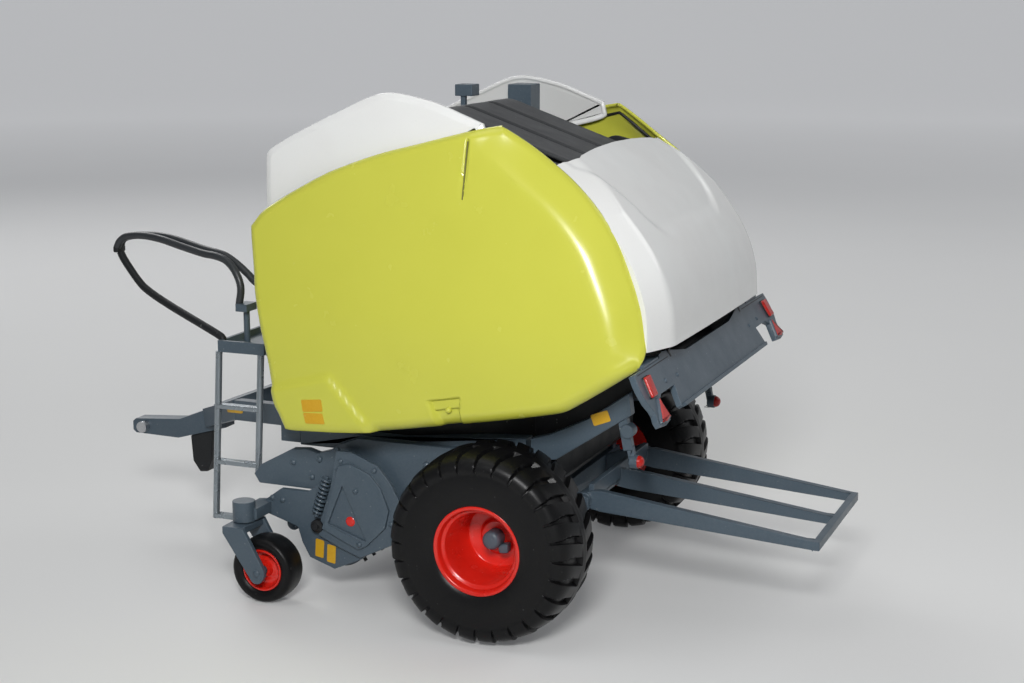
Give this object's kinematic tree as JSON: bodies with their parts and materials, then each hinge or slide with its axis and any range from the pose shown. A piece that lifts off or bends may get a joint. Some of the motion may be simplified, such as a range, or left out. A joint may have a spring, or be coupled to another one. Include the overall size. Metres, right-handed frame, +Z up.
{
  "type": "model round baler",
  "caption": "Scale-model round baler with side hoods, a lifting tailgate over a ribbed bale chamber, a light bar, a bale ramp, a pickup on castors, a ladder and a drawbar.",
  "frame": {"origin": "on the ground, in the middle of the model's length and width", "axes": "+X forward to the drawbar's nose, +Y to the machine's left, +Z up"},
  "size_m": [0.1482, 0.0872, 0.0932],
  "materials": {
    "grey_paint": "satin blue-grey paint",
    "lime_plastic": "glossy lime green",
    "white_plastic": "glossy white",
    "dark_plastic": "matt near-black",
    "belt": "dull dark grey, ribbed along",
    "tyre": "black with a slight sheen",
    "rim_red": "glossy red",
    "lamp_red": "glossy dark red",
    "steel": "bright worn steel",
    "bright_metal": "thin light paint over bright metal",
    "hose": "dull black"
  },
  "bodies": {
    "chassis": {"axle_beam": "grey_paint", "side_beams": "grey_paint", "chamber_walls": "dark_plastic", "cross_tubes": "grey_paint", "chamber_rollers": "dark_plastic", "belts": "belt", "top_frame": "grey_paint", "hood_brackets": "dark_plastic", "front_panel_left": "white_plastic", "front_panel_right": "white_plastic", "drawbar": "grey_paint", "towing_pin": "steel", "gearbox": "dark_plastic", "net_box": "lime_plastic", "ladder": "bright_metal", "platform": "grey_paint", "hose_holder": "grey_paint", "hoses": "hose", "parking_foot": "dark_plastic", "ramp_mount": "grey_paint"},
    "wheel_left": {"tyre_left": "tyre", "rim_left": "rim_red"},
    "wheel_right": {"tyre_right": "tyre", "rim_right": "rim_red"},
    "pickup": {"pickup_frame": "grey_paint", "drive_covers": "grey_paint", "pickup_guards": "grey_paint", "crop_roller": "grey_paint"},
    "reel": {"pickup_reel": "dark_plastic"},
    "castor_left": {"castor_fork_left": "grey_paint"},
    "castor_right": {"castor_fork_right": "grey_paint"},
    "castor_wheel_left": {"castor_tyre_left": "tyre", "castor_rim_left": "rim_red"},
    "castor_wheel_right": {"castor_tyre_right": "tyre", "castor_rim_right": "rim_red"},
    "tailgate": {"tailgate_shell": "white_plastic", "tailgate_walls": "dark_plastic", "tailgate_beams": "grey_paint", "light_bar": "grey_paint", "rear_lamps": "lamp_red", "lamp_stalks": "grey_paint", "tailgate_rollers": "dark_plastic"},
    "ramp": {"bale_ramp": "grey_paint"},
    "side_hood_left": {"hood_left": "lime_plastic"},
    "side_hood_right": {"hood_right": "lime_plastic"}
  },
  "joints": [
    {"name": "wheel_left_spin", "type": "hinge", "parent": "chassis", "child": "wheel_left", "pos_m": [-0.0212, 0.03585, 0.0172], "axis": [0, 1, 0], "continuous": true},
    {"name": "wheel_right_spin", "type": "hinge", "parent": "chassis", "child": "wheel_right", "pos_m": [-0.0212, -0.03585, 0.0172], "axis": [0, 1, 0], "continuous": true},
    {"name": "pickup_lift", "type": "hinge", "parent": "chassis", "child": "pickup", "pos_m": [0.0058, 0, 0.017], "axis": [0, -1, 0], "range_deg": [0, 12]},
    {"name": "reel_spin", "type": "hinge", "parent": "pickup", "child": "reel", "pos_m": [0.0148, 0, 0.0096], "axis": [0, 1, 0], "continuous": true},
    {"name": "castor_left_swivel", "type": "hinge", "parent": "pickup", "child": "castor_left", "pos_m": [0.0288, 0.0342, 0.014], "axis": [0, 0, 1], "continuous": true},
    {"name": "castor_left_spin", "type": "hinge", "parent": "castor_left", "child": "castor_wheel_left", "pos_m": [0.0241, 0.0342, 0.0062], "axis": [0, 1, 0], "continuous": true},
    {"name": "castor_right_swivel", "type": "hinge", "parent": "pickup", "child": "castor_right", "pos_m": [0.0288, -0.0342, 0.014], "axis": [0, 0, 1], "continuous": true},
    {"name": "castor_right_spin", "type": "hinge", "parent": "castor_right", "child": "castor_wheel_right", "pos_m": [0.0241, -0.0342, 0.0062], "axis": [0, 1, 0], "continuous": true},
    {"name": "tailgate_lift", "type": "hinge", "parent": "chassis", "child": "tailgate", "pos_m": [-0.0232, 0, 0.0795], "axis": [0, 1, 0], "range_deg": [0, 65]},
    {"name": "ramp_tilt", "type": "hinge", "parent": "chassis", "child": "ramp", "pos_m": [-0.0312, 0, 0.0204], "axis": [0, 1, 0], "range_deg": [-17, 0]},
    {"name": "hood_left_lift", "type": "hinge", "parent": "chassis", "child": "side_hood_left", "pos_m": [-0.0212, 0.0312, 0.0882], "axis": [1, 0, 0], "range_deg": [0, 60]},
    {"name": "hood_right_lift", "type": "hinge", "parent": "chassis", "child": "side_hood_right", "pos_m": [-0.0212, -0.0312, 0.0882], "axis": [-1, 0, 0], "range_deg": [0, 60]}
  ]
}
